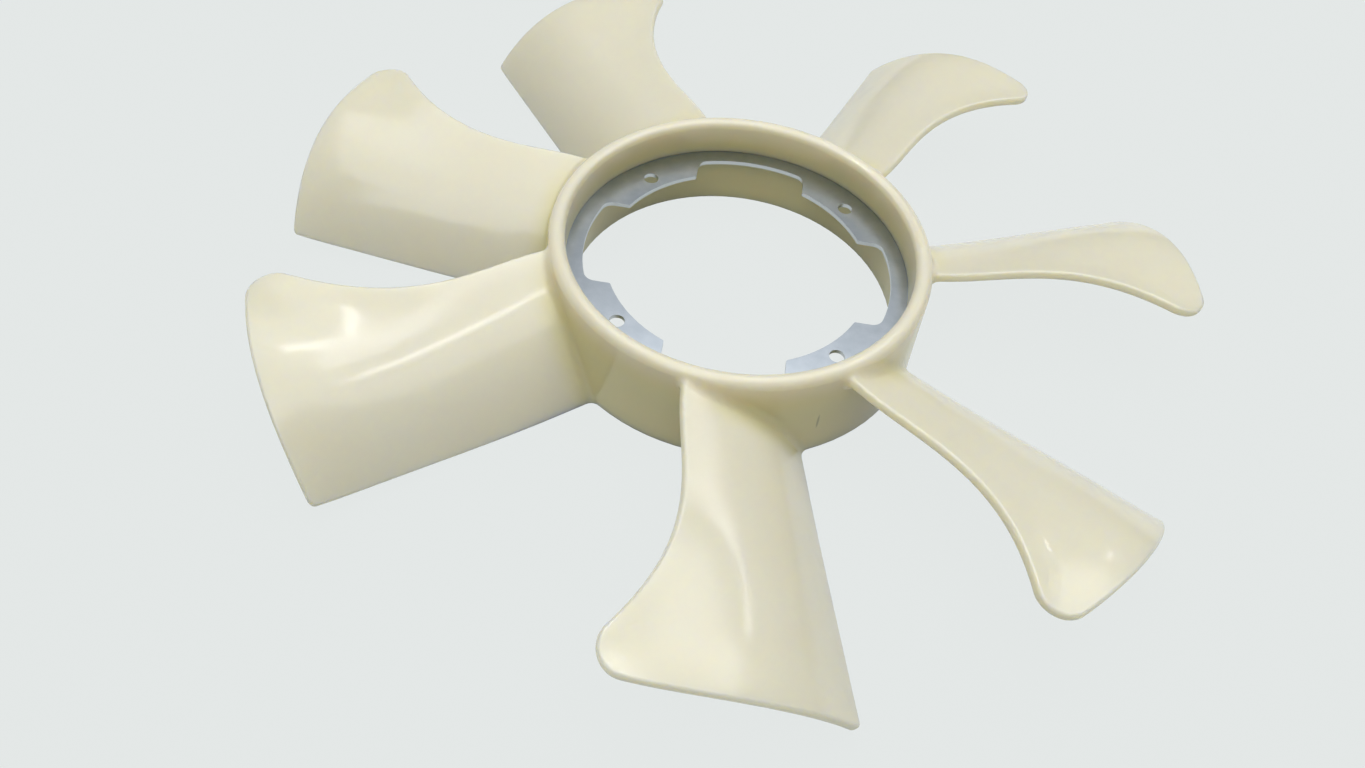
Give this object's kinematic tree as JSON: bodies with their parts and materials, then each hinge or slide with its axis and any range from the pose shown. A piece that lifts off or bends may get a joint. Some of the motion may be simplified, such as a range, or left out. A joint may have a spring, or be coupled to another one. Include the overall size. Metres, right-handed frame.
{
  "type": "axial fan impeller",
  "caption": "Axial fan impeller with swept, cambered blades around a wide hub ring and a bolt-on steel mounting ring inside it.",
  "frame": {"origin": "centre of the bolt circle, on the fan's axis at the steel ring's upper face", "axes": "+Z along the fan's axis, towards the hub's rounded rim; +X midway between two bolt holes"},
  "size_m": [0.4194, 0.4094, 0.0459],
  "materials": {
    "nylon": "satin",
    "zinc_steel": "zinc plated"
  },
  "bodies": {
    "root": {"fan_moulding": "nylon", "mounting_ring": "zinc_steel"}
  },
  "joints": []
}
